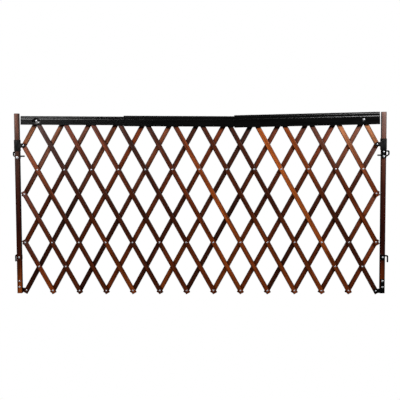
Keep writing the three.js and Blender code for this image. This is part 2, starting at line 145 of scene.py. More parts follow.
class Nodes:
    """A short way to write a material's node tree."""

    def __init__(self, name):
        self.material = bpy.data.materials.new(name)
        self.material.use_nodes = True
        self.tree = self.material.node_tree
        self.tree.nodes.clear()
        self.output = self.add("ShaderNodeOutputMaterial")
        self.shader = self.add("ShaderNodeBsdfPrincipled")
        self.link(self.shader, "BSDF", self.output, "Surface")
        self.coordinates = self.add("ShaderNodeTexCoord")

    def add(self, kind, **values):
        node = self.tree.nodes.new(kind)
        for key, value in values.items():
            setattr(node, key, value)
        return node

    def link(self, source, out_name, target, in_name):
        self.tree.links.new(source.outputs[out_name], target.inputs[in_name])

    def mapped(self, scale, offset=(0, 0, 0)):
        mapping = self.add("ShaderNodeMapping")
        mapping.inputs["Scale"].default_value = scale
        mapping.inputs["Location"].default_value = offset
        self.link(self.coordinates, "Object", mapping, "Vector")
        return mapping

    def noise(self, mapping, scale, detail=4.0, roughness=0.55, distortion=0.0):
        noise = self.add("ShaderNodeTexNoise")
        noise.inputs["Scale"].default_value = scale
        noise.inputs["Detail"].default_value = detail
        noise.inputs["Roughness"].default_value = roughness
        noise.inputs["Distortion"].default_value = distortion
        self.link(mapping, "Vector", noise, "Vector")
        return noise

    def ramp(self, source, out_name, stops):
        ramp = self.add("ShaderNodeValToRGB")
        elements = ramp.color_ramp.elements
        while len(elements) < len(stops):
            elements.new(0.5)
        for element, (place, color) in zip(elements, stops):
            element.position = place
            element.color = color
        self.link(source, out_name, ramp, "Fac")
        return ramp

    def mix(self, blend, factor, a, b):
        """a and b are (node, output) pairs or plain colours, factor a pair or a number."""
        mix = self.add("ShaderNodeMix", data_type="RGBA", blend_type=blend)
        for index, value in ((0, factor), (6, a), (7, b)):
            if isinstance(value, tuple):
                self.tree.links.new(value[0].outputs[value[1]], mix.inputs[index])
            else:
                mix.inputs[index].default_value = value
        return (mix, 2)

    def math(self, operation, *values, clamp=False):
        node = self.add("ShaderNodeMath", operation=operation, use_clamp=clamp)
        for index, value in enumerate(values):
            if isinstance(value, tuple):
                self.tree.links.new(value[0].outputs[value[1]], node.inputs[index])
            else:
                node.inputs[index].default_value = value
        return (node, 0)

    def drive(self, pair, socket):
        self.tree.links.new(pair[0].outputs[pair[1]], self.shader.inputs[socket])

    def set(self, **values):
        for socket, value in values.items():
            self.shader.inputs[socket.replace("_", " ")].default_value = value

    def bump(self, pair, strength, distance):
        bump = self.add("ShaderNodeBump")
        bump.inputs["Strength"].default_value = strength
        bump.inputs["Distance"].default_value = distance
        self.tree.links.new(pair[0].outputs[pair[1]], bump.inputs["Height"])
        self.tree.links.new(bump.outputs["Normal"], self.shader.inputs["Normal"])


def grey(value):
    return [value, value, value, 1]


# The first colour paints shade on the eased edges of timber. The second is the darker stain of its
# sawn ends.
EDGE_SHADE_TINT = 0x6A5650
END_TINT = 0x6A5A52
END_TINT_DEPTH = 1.2


def wood(name, stains_and_light, seed, half_length, half_width):
    """Stained, lacquered timber with its grain along the piece's own X.
    The colours are sRGB codes spread evenly from the piece's foot to its head. They are stained
    wood with painted light in them: paler feet as painted floor bounce, and paler heads as painted
    sheen and light from above."""
    n = Nodes(name)
    offset = (seed * 3.7, seed * 1.3, seed * 2.1)
    fibres = n.noise(n.mapped((14, 420, 420), offset), 1.0, 6, 0.62, 0.3)
    figure = n.noise(n.mapped((5, 60, 60), offset), 1.0, 3, 0.5, 0.8)
    pores = n.noise(n.mapped((60, 900, 900), offset), 1.0, 2, 0.5)
    axes = n.add("ShaderNodeSeparateXYZ")
    n.link(n.coordinates, "Object", axes, "Vector")

    along = n.math("MULTIPLY_ADD", (axes, 0), 0.5 / (half_length * MM), 0.5, clamp=True)
    last = len(stains_and_light) - 1
    foot_to_head = n.ramp(*along, [(k / last, linear(code)) for k, code in enumerate(stains_and_light)])
    figured = n.ramp(figure, "Fac", [(0.3, grey(0.48)), (0.5, grey(1.0)), (0.72, grey(1.55))])
    tinted = n.mix("MULTIPLY", 1.0, (foot_to_head, 0), (figured, 0))
    streaks = n.ramp(fibres, "Fac", [(0.35, grey(0.62)), (0.55, grey(1.05)), (0.7, grey(1.25))])
    grained = n.mix("MULTIPLY", 0.85, tinted, (streaks, 0))
    specks = n.ramp(pores, "Fac", [(0.3, grey(0.45)), (0.42, grey(1.0))])
    pored = n.mix("MULTIPLY", 0.6, grained, (specks, 0))

    # Painted shade: the colour is darkened across the eased edges, where they round away from the
    # light. The sawn ends are stained darker.
    to_edge = n.math("DIVIDE", n.math("ABSOLUTE", (axes, 1)), half_width * MM)
    edge = n.math("SMOOTH_MIN", n.math("MULTIPLY_ADD", to_edge, 3.2, -2.1), 1.0, 0.2, clamp=True)
    painted_edge_shade = n.mix("MULTIPLY", 1.0, pored, linear(EDGE_SHADE_TINT))
    edge_shaded = n.mix("MIX", edge, pored, painted_edge_shade)
    to_end = n.math("SUBTRACT", half_length * MM, n.math("ABSOLUTE", (axes, 0)))
    near_end = n.math("SUBTRACT", 1.0, n.math("DIVIDE", to_end, END_TINT_DEPTH * MM), clamp=True)
    ended = n.mix("MIX", near_end, edge_shaded, n.mix("MULTIPLY", 1.0, edge_shaded, linear(END_TINT)))
    n.drive(ended, "Base Color")

    gloss = n.ramp(fibres, "Fac", [(0.3, grey(0.3)), (0.7, grey(0.42))])
    n.drive((gloss, 0), "Roughness")
    height = n.mix("MULTIPLY", 0.7, (streaks, 0), (specks, 0))
    n.bump(height, 0.25, 0.15 * MM)
    n.set(Specular_IOR_Level=0.25)
    return n.material


def moulded(name, code, roughness, grain):
    """Black moulded plastic with a fine spark-eroded grain."""
    n = Nodes(name)
    fine = n.noise(n.mapped((1, 1, 1)), 1800, 3)
    broad = n.noise(n.mapped((1, 1, 1)), 45, 3)
    shade = n.ramp(broad, "Fac", [(0.3, linear(code)), (0.75, scaled(code, 1.5))])
    n.drive((shade, 0), "Base Color")
    gloss = n.ramp(broad, "Fac", [(0.3, grey(roughness - 0.05)), (0.7, grey(roughness + 0.07))])
    n.drive((gloss, 0), "Roughness")
    n.bump((fine, 0), grain, 0.05 * MM)
    n.set(Specular_IOR_Level=0.38)
    return n.material


def enamel(name, code, roughness, shine):
    """Black baked enamel on sheet metal: slight orange peel and a few dull scuffs."""
    n = Nodes(name)
    peel = n.noise(n.mapped((1, 1, 1)), 260, 3)
    scuffs = n.noise(n.mapped((6, 90, 90)), 1.0, 5, 0.6, 0.4)
    shade = n.ramp(scuffs, "Fac", [(0.4, linear(code)), (0.8, scaled(code, 1.9))])
    n.drive((shade, 0), "Base Color")
    gloss = n.ramp(scuffs, "Fac", [(0.35, grey(roughness)), (0.75, grey(roughness + 0.06))])
    n.drive((gloss, 0), "Roughness")
    n.bump((peel, 0), 0.008, 0.04 * MM)
    n.set(Specular_IOR_Level=shine)
    return n.material


def plated(name, code, roughness):
    """Zinc-plated steel with faint spangle and a duller bloom in patches."""
    n = Nodes(name)
    bloom = n.noise(n.mapped((1, 1, 1)), 420, 4)
    turned = n.noise(n.mapped((700, 120, 700)), 1.0, 3)
    shade = n.ramp(bloom, "Fac", [(0.3, scaled(code, 0.72)), (0.7, linear(code))])
    n.drive((shade, 0), "Base Color")
    gloss = n.ramp(bloom, "Fac", [(0.3, grey(roughness + 0.14)), (0.7, grey(roughness))])
    n.drive((gloss, 0), "Roughness")
    n.bump((turned, 0), 0.08, 0.03 * MM)
    n.set(Metallic=0.75)
    return n.material


BLACK_ENAMEL = enamel("black_enamel", 0x010101, 0.23, 0.75)
BLACK_STEEL = enamel("black_steel", 0x010101, 0.42, 0.1)
BLACK_PLASTIC = moulded("black_plastic", 0x030303, 0.42, 0.3)
ZINC = plated("zinc_plate", 0xECEEF2, 0.46)

# ---- Mesh tools -----------------------------------------------------------------------------


def piece(name, mesh, material, matrix=Matrix.Identity(4)):
    obj = bpy.data.objects.new(name, mesh)
    bpy.context.scene.collection.objects.link(obj)
    obj.matrix_world = matrix
    mesh.materials.clear()
    mesh.materials.append(material)
    return obj


def finish_piece(obj, body, replaced=()):
    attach(obj, body)
    if replaced:
        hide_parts(*replaced)
    return obj


def shade(mesh, smooth_angle):
    """Smooth shading, but for edges sharper than that many degrees."""
    mesh.polygons.foreach_set("use_smooth", [True] * len(mesh.polygons))
    mesh.set_sharp_from_angle(angle=math.radians(smooth_angle))


def mesh_from(name, points, faces, smooth_angle=35):
    """A closed mesh from points in millimetres."""
    mesh = bpy.data.meshes.new(name)
    mesh.from_pydata([Vector(p) * MM for p in points], [], faces)
    bm = bmesh.new()
    bm.from_mesh(mesh)
    bmesh.ops.recalc_face_normals(bm, faces=bm.faces)
    bm.to_mesh(mesh)
    bm.free()
    shade(mesh, smooth_angle)
    return mesh


def joined(name, meshes):
    """One mesh holding several closed shells."""
    bm = bmesh.new()
    for mesh in meshes:
        bm.from_mesh(mesh)
        bpy.data.meshes.remove(mesh)
    whole = bpy.data.meshes.new(name)
    bm.to_mesh(whole)
    bm.free()
    shade(whole, 38)
    return whole


def arc(centre, radius, start, end, steps):
    """Points on an arc, angles in degrees."""
    turns = [math.radians(start + (end - start) * k / steps) for k in range(steps + 1)]
    return [(centre[0] + radius * math.cos(t), centre[1] + radius * math.sin(t)) for t in turns]


def rounded_box_outline(left, bottom, right, top, radius, steps=4):
    return (
        arc((right - radius, bottom + radius), radius, -90, 0, steps)
        + arc((right - radius, top - radius), radius, 0, 90, steps)
        + arc((left + radius, top - radius), radius, 90, 180, steps)
        + arc((left + radius, bottom + radius), radius, 180, 270, steps)
    )


def lofted(name, rings, smooth_angle=35):
    """A closed solid through rings of equally many points, capped at both ends."""
    count = len(rings[0])
    points = [p for ring in rings for p in ring]
    faces = [list(range(count))]
    for level in range(len(rings) - 1):
        start = level * count
        for k in range(count):
            after = (k + 1) % count
            faces.append([start + k, start + after, start + count + after, start + count + k])
    faces.append(list(range((len(rings) - 1) * count, len(rings) * count)))
    return mesh_from(name, points, faces, smooth_angle)


# How a timber's end is eased, as shares of the ease: in from the end, and off the section.
EASING = [(0, 1), (0.4, 0.3), (1, 0)]
LEAST_EDGE_RADIUS = 0.4


def bar(name, half_length, half_width, half_thickness, radius, end_ease):
    """A timber along X with rounded long edges and slightly eased ends."""
    foot = [(-half_length + into * end_ease, off * end_ease) for into, off in EASING]
    head = [(-x, ease) for x, ease in reversed(foot)]
    rings = []
    for x, ease in foot + head:
        w = half_width - ease
        t = half_thickness - ease
        edge = max(radius - ease, LEAST_EDGE_RADIUS)
        rings.append([(x, a, b) for a, b in rounded_box_outline(-w, -t, w, t, edge, 5)])
    return lofted(name, rings)


def lathe(name, profile, sides=28, smooth_angle=40):
    """A turned piece about Y. The profile is (radius, y) from one point on the axis to another."""
    points = [(0, profile[0][1], 0)]
    faces = []
    inner = profile[1:-1]
    for radius, y in inner:
        for k in range(sides):
            turn = 2 * math.pi * k / sides
            points.append((radius * math.cos(turn), y, radius * math.sin(turn)))
    points.append((0, profile[-1][1], 0))
    for k in range(sides):
        faces.append([0, 1 + k, 1 + (k + 1) % sides])
        for level in range(len(inner) - 1):
            a = 1 + level * sides
            b = a + sides
            faces.append([a + k, b + k, b + (k + 1) % sides, a + (k + 1) % sides])
        a = 1 + (len(inner) - 1) * sides
        faces.append([len(points) - 1, a + (k + 1) % sides, a + k])
    return mesh_from(name, points, faces, smooth_angle)


def plate(name, loops, thickness, bevel, rear_y):
    """A flat piece in X and Z with eased edges. The first loop is its outline, the rest holes."""
    curve = bpy.data.curves.new(name, "CURVE")
    curve.dimensions = "2D"
    curve.fill_mode = "BOTH"
    curve.extrude = (thickness / 2 - bevel) * MM
    curve.bevel_depth = bevel * MM
    curve.offset = -bevel * MM
    curve.bevel_resolution = 2
    for loop in loops:
        spline = curve.splines.new("POLY")
        spline.points.add(len(loop) - 1)
        for point, (x, z) in zip(spline.points, loop):
            point.co = (x * MM, z * MM, 0, 1)
        spline.use_cyclic_u = True
    obj = bpy.data.objects.new(name, curve)
    bpy.context.scene.collection.objects.link(obj)
    bpy.context.view_layer.update()
    mesh = bpy.data.meshes.new_from_object(obj)
    bpy.data.objects.remove(obj)
    bpy.data.curves.remove(curve)
    bm = bmesh.new()
    bm.from_mesh(mesh)
    bmesh.ops.remove_doubles(bm, verts=bm.verts, dist=1e-6)
    bmesh.ops.recalc_face_normals(bm, faces=bm.faces)
    bm.to_mesh(mesh)
    bm.free()
    upright = Matrix.Rotation(math.pi / 2, 4, "X")
    centre_y = (rear_y - thickness / 2) * MM
    mesh.transform(Matrix.Translation((0, centre_y, 0)) @ upright)
    mesh.name = name
    shade(mesh, 40)
    return mesh


def circle(x, z, radius, steps=24):
    return arc((x, z), radius, 0, 360 - 360 / steps, steps - 1)


RIM_SHARE = 0.25  # of a domed head's height, below the dome


def dome(radius, height, face_y, outward, steps=6):
    """The profile of a domed head, from the axis out to its rim on face_y."""
    rim = RIM_SHARE * height
    points = []
    for k in range(steps + 1):
        turn = math.radians(90 * k / steps)
        rise = rim + (height - rim) * math.cos(turn)
        points.append((radius * math.sin(turn), face_y + outward * rise))
    return points + [(radius, face_y)]


def headed_pin(name, shank, front_y, rear_y, front_head, rear_head):
    """A pin with a domed head at each end. Each head is (radius, height)."""
    front = dome(*front_head, front_y, -1)
    rear = dome(*rear_head, rear_y, 1)
    profile = front + [(shank, front_y), (shank, rear_y)] + rear[::-1]
    return lathe(name, profile)


# ---- Lattice --------------------------------------------------------------------------------

# The stains, as sRGB codes, from the darkest board to the palest.
STAINS = {
    "ebony": 0x36170B,
    "umber": 0x4A1F0C,
    "plum": 0x50291D,
    "chestnut": 0x61290E,
    "russet": 0x7E3510,
    "rosewood": 0x744736,
    "cinnamon": 0x8A4A2C,
    "amber": 0xA04A17,
    "fawn": 0x9C6040,
    "tawny": 0xB4591F,
    "maple": 0xD0875A,
}

# Each slat's colour at its foot, in its middle and at its head, left to right. It is stained wood
# that varies from slat to slat, made paler in places as painted light: at the feet as painted bounce
# from the floor, and at the heads as painted light from above.
REAR_STAINS_AND_LIGHT = [
    ("fawn", "fawn", "fawn"),
    ("umber", "rosewood", "fawn"),
    ("chestnut", "umber", "rosewood"),
    ("umber", "ebony", "cinnamon"),
    ("chestnut", "chestnut", "russet"),
    ("ebony", "umber", "cinnamon"),
    ("russet", "chestnut", "umber"),
    ("umber", "umber", "russet"),
    ("amber", "umber", "ebony"),
    ("umber", "ebony", "russet"),
    ("amber", "umber", "russet"),
    ("russet", "umber", "russet"),
    ("umber", "umber", "cinnamon"),
    ("russet", "umber", "chestnut"),
    ("chestnut", "chestnut", "amber"),
    ("chestnut", "russet", "russet"),
]
FRONT_STAINS_AND_LIGHT = [
    ("amber", "russet", "umber"),
    ("chestnut", "chestnut", "chestnut"),
    ("chestnut", "umber", "amber"),
    ("amber", "umber", "plum"),
    ("chestnut", "umber", "russet"),
    ("russet", "umber", "russet"),
    ("russet", "umber", "umber"),
    ("amber", "russet", "ebony"),
    ("russet", "amber", "russet"),
    ("amber", "chestnut", "chestnut"),
    ("amber", "umber", "umber"),
    ("russet", "tawny", "tawny"),
    ("umber", "umber", "amber"),
    ("russet", "chestnut", "rosewood"),
    ("russet", "cinnamon", "maple"),
    ("maple", "maple", "maple"),
]

SLAT_EDGE_RADIUS = 3.2
SLAT_END_EASE = 0.8
GRAIN_SEEDS = {"front": 0, "rear": 40}  # added to a slat's number, so that no two look the same


def slat_size(node):
    """Half the length and half the width of a leaning slat, from the box around it."""
    low, high = cad_box(node)
    across = high.x - low.x
    up = high.z - low.z
    c, s = math.cos(SLAT_ANGLE), math.sin(SLAT_ANGLE)
    scale = s * s - c * c
    return (up * s - across * c) / scale / 2, (across * s - up * c) / scale / 2


def add_slats(layer, stains_and_light, lean):
    for number, places in enumerate(stains_and_light, 1):
        node = f"{layer}_slat_{number:02d}"
        half_length, half_width = slat_size(node)
        name = f"{layer}_timber_{number:02d}"
        mesh = bar(
            name, half_length, half_width, SLAT_THICKNESS / 2, SLAT_EDGE_RADIUS, SLAT_END_EASE
        )
        material = wood(
            f"walnut_{layer}_{number:02d}",
            [STAINS[place] for place in places],
            number + GRAIN_SEEDS[layer],
            half_length,
            half_width,
        )
        place = Matrix.Translation(cad_centre(node) * MM)
        rise = Matrix.Rotation(lean, 4, "Y") @ Matrix.Rotation(math.pi / 2, 4, "X")
        timber = piece(name, mesh, material, place @ rise)
        finish_piece(timber, node, [node])


def slat_through(layer, column, row):
    """The number of the slat of that layer that passes through a pivot, or None."""
    if layer == "rear":
        start = column - row
        return (start + ROWS - 1) // 2 + 1 if 1 - ROWS <= start <= COLUMNS - 2 else None
    foot = column + row
    return foot // 2 if 2 <= foot <= COLUMNS + ROWS - 1 else None


def has_rivet(column, row):
    """Bolts hold the ends of the sleeve row and the two ends of the rail."""
    if row == ROWS:
        return column not in (1, COLUMNS - 1)
    if row in (0, 2, 5):
        return True
    if row == 1:
        return column in (1, 3, COLUMNS - 3, COLUMNS - 1)
    return row == 4 and column in (0, COLUMNS)


RIVET_SHANK = 2.1
RIVET_HEAD = (3.9, 1.7)
RIVET_GAP = 0.02  # under its head and behind the rear slat
ROLL_RADIUS = 2.4  # from the rivet's axis to the middle of its rolled end
ROLL_HALF_WIDTH = 1.2
ROLL_HEIGHT = 1.3
ROLL_STEPS = 6
TUBE_BORE = 1.0
TUBE_FLOOR = 0.2


def rivet_mesh(name, front_y, rear_y):
    """A domed head in front and a rolled-over tube end behind."""
    front = dome(*RIVET_HEAD, front_y, -1)
    roll = []
    for k in range(ROLL_STEPS + 1):
        turn = math.radians(180 * k / ROLL_STEPS)
        radius = ROLL_RADIUS - ROLL_HALF_WIDTH * math.cos(turn)
        roll.append((radius, rear_y + ROLL_HEIGHT * math.sin(turn)))
    profile = front + [(RIVET_SHANK, front_y), (RIVET_SHANK, rear_y)]
    profile += roll[::-1] + [(TUBE_BORE, rear_y + TUBE_FLOOR), (0, rear_y + TUBE_FLOOR)]
    return lathe(name, profile, 20)


def add_rivets():
    for row in range(ROWS + 1):
        for column in range(row % 2, COLUMNS + 1, 2):
            if not has_rivet(column, row):
                continue
            front = slat_through("front", column, row)
            rear = slat_through("rear", column, row)
            front_y = -SLAT_FACE - RIVET_GAP if front else -RIVET_GAP
            rear_y = SLAT_FACE + RIVET_GAP if rear else RIVET_GAP
            if (column, row) == (0, 0):
                rear_y = cad_box("left_corner_bracket")[1].y + RIVET_GAP
            if (column, row) == (COLUMNS, 0):
                front_y = cad_box("right_corner_bracket")[0].y - RIVET_GAP
            name = f"rivet_{column:02d}_{row}"
            place = Matrix.Translation(pivot(column, row) * MM)
            rivet = piece(name, rivet_mesh(name, front_y, rear_y), ZINC, place)
            body = f"front_slat_{front:02d}" if front else f"rear_slat_{rear:02d}"
            finish_piece(rivet, body)


# ---- Top rail -------------------------------------------------------------------------------

RAIL_WALL = 1.2
RAIL_STEP = 1.3  # the crown is this much narrower on each side than the skirt
RAIL_STEP_HEIGHT = 4.4
RAIL_STEP_POINTS = 10
CROWN_SHARE = 0.34  # of the rail's height, down to the middle of the step
CROWN_RADIUS_SHARE = 0.18  # of the rail's height
CROWN_POINTS = 12
SKIRT_SPACING = 1.0
RAIL_RINGS = 14  # along each rail
DISH_RINGS = 12  # from the bolt to each end of its dish
END_RING = 0.4  # from a rail's end to the next ring
RAIL_TILTS = {
    "left": math.radians(0.55),
    "middle": math.radians(0.55),
    "right": math.radians(-1.13),
}
# The left dish stops just short of the slats inside. The right one is short, because the end of
# the middle rail comes close to the right bolt when the gate is folded.
LEFT_DISH = {"half_length": 20, "half_height": 12.5, "depth": 2.2}
RIGHT_DISH = {"half_length": 9.5, "half_height": 9.5, "depth": 1.0}
DISH_FLAT_SHARE = 0.36
SKIRT_SHARE = 0.8  # of the half width, beyond which a point belongs to the skirt
STUD_HEAD = (4.9, 1.9)
STUD_SHANK = 2.8
STUD_GAP = 0.05  # between a dish and the stud's head


def smooth_step(share):
    return share * share * (3 - 2 * share)


def rail_outline(half, below, above):
    """The outer line of a rail's section as (y, z), from the front skirt over to the rear one."""
    height = below + above
    step_bottom = above - CROWN_SHARE * height - RAIL_STEP_HEIGHT / 2
    crown_half = half - RAIL_STEP
    crown = CROWN_RADIUS_SHARE * height
    skirt_points = int((step_bottom + below) / SKIRT_SPACING)
    side = [(half, -below + (step_bottom + below) * k / skirt_points) for k in range(skirt_points)]
    for k in range(RAIL_STEP_POINTS + 1):
        share = k / RAIL_STEP_POINTS
        side.append((half - RAIL_STEP * smooth_step(share), step_bottom + RAIL_STEP_HEIGHT * share))
    side += arc((crown_half - crown, above - crown), crown, 0, 90, CROWN_POINTS)
    front = [(-y, z) for y, z in side]
    return front + side[::-1]


def inner_line(outline, wall):
    """The inner line of a sheet of that thickness whose outer line is the outline."""
    inner = []
    last = len(outline) - 1
    for k, (y, z) in enumerate(outline):
        before = outline[max(k - 1, 0)]
        after = outline[min(k + 1, last)]
        dy, dz = after[0] - before[0], after[1] - before[1]
        size = math.hypot(dy, dz)
        inner.append((y + wall * dz / size, z - wall * dy / size))
    inner[0] = (inner[0][0], outline[0][1])
    inner[-1] = (inner[-1][0], outline[-1][1])
    return inner


def dished(point, wall_side, dish):
    """Presses an oval into the skirt around the bolt, which is at x = z = 0."""
    x, y, z = point
    away = math.hypot(x / dish["half_length"], z / dish["half_height"])
    if away >= 1 or abs(y) < wall_side * SKIRT_SHARE:
        return point
    slope = min(1.0, (1 - away) / (1 - DISH_FLAT_SHARE))
    pressed = dish["depth"] * smooth_step(slope)
    return (x, y - math.copysign(pressed, y), z)


def rail_mesh(name, half, below, above, start, end, dish):
    """A channel along X that is open below, with its bolt at x = z = 0."""
    outer = rail_outline(half, below, above)
    inner = inner_line(outer, RAIL_WALL)
    section = outer + inner[::-1]
    stations = [start, start + END_RING, end - END_RING, end]
    stations += [start + (end - start) * k / RAIL_RINGS for k in range(2, RAIL_RINGS)]
    if dish:
        steps = range(-DISH_RINGS, DISH_RINGS + 1)
        stations += [dish["half_length"] * k / DISH_RINGS for k in steps]
    rings = []
    for x in sorted(stations):
        ring = [(x, y, z) for y, z in section]
        rings.append([dished(point, half, dish) for point in ring] if dish else ring)
    return lofted(name, rings, 38)


def add_rails():
    """Each rail is drawn level about its bolt and then tilted as it hangs in the frame."""
    specs = {
        "left": ("left_rail", RAIL_LEFT, LEFT_DISH),
        "middle": ("middle_rail", RAIL_LEFT, None),
        "right": ("right_rail", RAIL_RIGHT, RIGHT_DISH),
    }
    for side, (node, bolt, dish) in specs.items():
        tilt = RAIL_TILTS[side]
        back = Matrix.Rotation(-tilt, 4, "Y")
        corners = [back @ (v.co / MM - bolt) for v in frame["nodes"][node].data.vertices]
        low = Vector([min(c[k] for c in corners) for k in range(3)])
        high = Vector([max(c[k] for c in corners) for k in range(3)])
        name = f"{side}_channel"
        mesh = rail_mesh(name, high.y, -low.z, high.z, low.x, high.x, dish)
        place = Matrix.Translation(bolt * MM) @ Matrix.Rotation(tilt, 4, "Y")
        channel = piece(name, mesh, BLACK_ENAMEL, place)
        finish_piece(channel, node, [node])
        if not dish:
            continue
        seat = high.y - dish["depth"] + STUD_GAP
        stud_name = f"{side}_rail_stud"
        stud_mesh = headed_pin(stud_name, STUD_SHANK, -seat, seat, STUD_HEAD, STUD_HEAD)
        stud = piece(stud_name, stud_mesh, ZINC, place)
        finish_piece(stud, node, [f"{side}_rail_bolt"])


# ---- Posts and their metalwork --------------------------------------------------------------

FIT_GAP = 0.3  # that touching CAD pieces keep
HEAD_GAP = 0.1  # under a bolt's head
DOME_MARGIN = 0.1  # of a latch bolt's domes inside the CAD bolt's

# Each post's colours from its foot to its head, as sRGB codes, and the seed of its grain. The
# middle is the dark stained wood. The paler foot is painted bounce light from the floor, and the
# pinkish head is a painted sheen of the light from above.
POST_STAINS_AND_LIGHT = {
    "left": [0xAE541C, 0x58220D, 0x3C150B, 0x3C180C, 0x48281A, 0x804C38],
    "right": [0x8C3C12, 0x3E1206, 0x340D05, 0x3E160A, 0x6A3A2A, 0x8D695E],
}
POST_SEEDS = {"left": 91, "right": 92}
POST_EDGE_RADIUS = 2.6
POST_END_EASE = 1.2


def post_place(z=0.0):
    return Matrix.Translation(Vector((POST_X, 0, z)) * MM)


def add_to_side(side, name, mesh, material, place, body, node=None):
    """Adds a piece drawn for the right-hand post to either side. The body that it rides on and
    the CAD node that it replaces are named without their side."""
    obj = piece(f"{side}_{name}", mesh, material, SIDES[side] @ place)
    return finish_piece(obj, f"{side}_{body}", [f"{side}_{node}"] if node else ())


def add_post(side):
    low, high = POST_LOW, POST_HIGH
    half_length = (high.z - low.z) / 2
    mesh = bar(
        f"{side}_post_timber", half_length, POST_HALF, POST_FACE, POST_EDGE_RADIUS, POST_END_EASE
    )
    seed = POST_SEEDS[side]
    material = wood(f"walnut_post_{side}", POST_STAINS_AND_LIGHT[side], seed, half_length, POST_HALF)
    upright = Matrix.Rotation(-math.pi / 2, 4, "Y") @ Matrix.Rotation(math.pi / 2, 4, "X")
    place = post_place((low.z + high.z) / 2) @ upright
    add_to_side(side, "post_timber", mesh, material, place, "post", "post")


SLEEVE_CLEARANCE = 0.6
SLEEVE_EDGE = 0.6  # of the chamfer around its two ends
SLEEVE_CORNER = 2.4
BORE_CORNER = 0.8
WEB_RISE = 0.5
WEB_HALF_WIDTH = 5.5
WEB_SETBACK = 1  # from the sleeve's ends
WEB_BRANCH = 7  # above and below the ear, where the web starts to slope out to it
WEB_EDGE = 0.6
EAR_RADIUS = 9.5
EAR_GAP = 0.4  # between an ear and the slat beside it
EAR_HOLE = 2.9
SLEEVE_PIN_SHANK = 2.6
SLEEVE_PIN_HEAD = (3.3, 1.4)


def sleeve_tube(name, outer_x, outer_y, half_height):
    rings = []
    for z, grow in (
        (-half_height, -SLEEVE_EDGE),
        (-half_height + SLEEVE_EDGE, 0),
        (half_height - SLEEVE_EDGE, 0),
        (half_height, -SLEEVE_EDGE),
    ):
        w, t = outer_x + grow, outer_y + grow
        rings.append([(x, y, z) for x, y in rounded_box_outline(-w, -t, w, t, SLEEVE_CORNER)])
    inner_x, inner_y = POST_HALF + SLEEVE_CLEARANCE, POST_FACE + SLEEVE_CLEARANCE
    bore = rounded_box_outline(-inner_x, -inner_y, inner_x, inner_y, BORE_CORNER)
    rings += [[(x, y, z) for x, y in bore] for z in (half_height, -half_height)]
    count = len(bore)
    points = [p for ring in rings for p in ring]
    faces = []
    for level in range(len(rings)):
        a = level * count
        b = (level + 1) % len(rings) * count
        for k in range(count):
            after = (k + 1) % count
            faces.append([a + k, a + after, b + after, b + k])
    return mesh_from(name, points, faces)


def sleeve_mesh(name):
    """A moulded sleeve: a box tube with a raised web that runs out into the front and rear ears."""
    low, high = cad_box("right_sleeve")
    outer_x = high.x - POST_X
    outer_y = high.y
    half_height = (high.z - low.z) / 2
    web_top = half_height - WEB_SETBACK
    branch = EAR_RADIUS + WEB_BRANCH
    parts = [sleeve_tube(name, outer_x, outer_y - WEB_RISE, half_height)]

    ear_x = joint_place("right_sleeve_pivot").x - POST_X
    outline = (
        [(WEB_HALF_WIDTH, -web_top), (WEB_HALF_WIDTH, web_top), (-WEB_HALF_WIDTH, web_top)]
        + [(-WEB_HALF_WIDTH, branch), (-outer_x, EAR_RADIUS), (ear_x, EAR_RADIUS)]
        + arc((ear_x, 0), EAR_RADIUS, 90, 270, 16)[1:]
        + [(-outer_x, -EAR_RADIUS), (-WEB_HALF_WIDTH, -branch), (-WEB_HALF_WIDTH, -web_top)]
    )
    hole = circle(ear_x, 0, EAR_HOLE)
    thickness = outer_y - SLAT_FACE - EAR_GAP
    for rear_y in (thickness - outer_y, outer_y):
        parts.append(plate(name, [outline, hole], thickness, WEB_EDGE, rear_y))
    return joined(name, parts)


def add_sleeve(side):
    low, high = cad_box("right_sleeve")
    place = post_place((low.z + high.z) / 2)
    mesh = sleeve_mesh("slider")
    add_to_side(side, "slider", mesh, BLACK_PLASTIC, place, "sleeve", "sleeve")
    grip = high.y + HEAD_GAP
    pin = headed_pin("slider_pin", SLEEVE_PIN_SHANK, -grip, grip, SLEEVE_PIN_HEAD, SLEEVE_PIN_HEAD)
    spot = Matrix.Translation(joint_place("right_sleeve_pivot") * MM)
    add_to_side(side, "slider_pin", pin, ZINC, spot, "sleeve", "sleeve_bolt")


BRACKET_CORNER = 2.0
BRACKET_SCREW_HOLE = 2.6
BRACKET_EYE_HOLE = 2.5
BRACKET_EDGE = 0.5
BRACKET_SHOULDER = (2, 5, 1.2)  # its width, and its heights over the eye's top
BRACKET_FOOT = (3, 1.2)  # the width and height of the slope from the eye down to the foot
BRACKET_EYE_END = 262  # where the eye's round edge stops, in degrees


def add_bracket(side):
    """The leg is flat on the post and the arm narrows to a round eye at the corner pivot."""
    low, high = cad_box("right_corner_bracket")
    half = high.x - POST_X
    eye = FIRST.z
    eye_x = LAST.x - POST_X
    radius = LAST.x - low.x
    corner = BRACKET_CORNER
    shoulder, shoulder_top, shoulder_low = BRACKET_SHOULDER
    foot, foot_rise = BRACKET_FOOT
    outline = (
        arc((half - corner, low.z + corner), corner, -90, 0, 4)
        + arc((half - corner, high.z - corner), corner, 0, 90, 4)
        + arc((-half + corner, high.z - corner), corner, 90, 180, 4)
        + [(-half, eye + radius + shoulder_top), (-half - shoulder, eye + radius + shoulder_low)]
        + arc((eye_x, eye), radius, 90, BRACKET_EYE_END, 18)
        + [(-half - foot, low.z + foot_rise), (-half, low.z)]
    )
    screws = [cad_centre(f"right_bracket_screw_{which}").z for which in ("upper", "lower")]
    holes = [circle(0, z, BRACKET_SCREW_HOLE) for z in screws]
    holes.append(circle(eye_x, eye, BRACKET_EYE_HOLE))
    mesh = plate("corner_plate", [outline, *holes], high.y - low.y, BRACKET_EDGE, high.y)
    add_to_side(
        side, "corner_plate", mesh, BLACK_STEEL, post_place(), "post", "corner_bracket"
    )


BEND_STEPS = 8
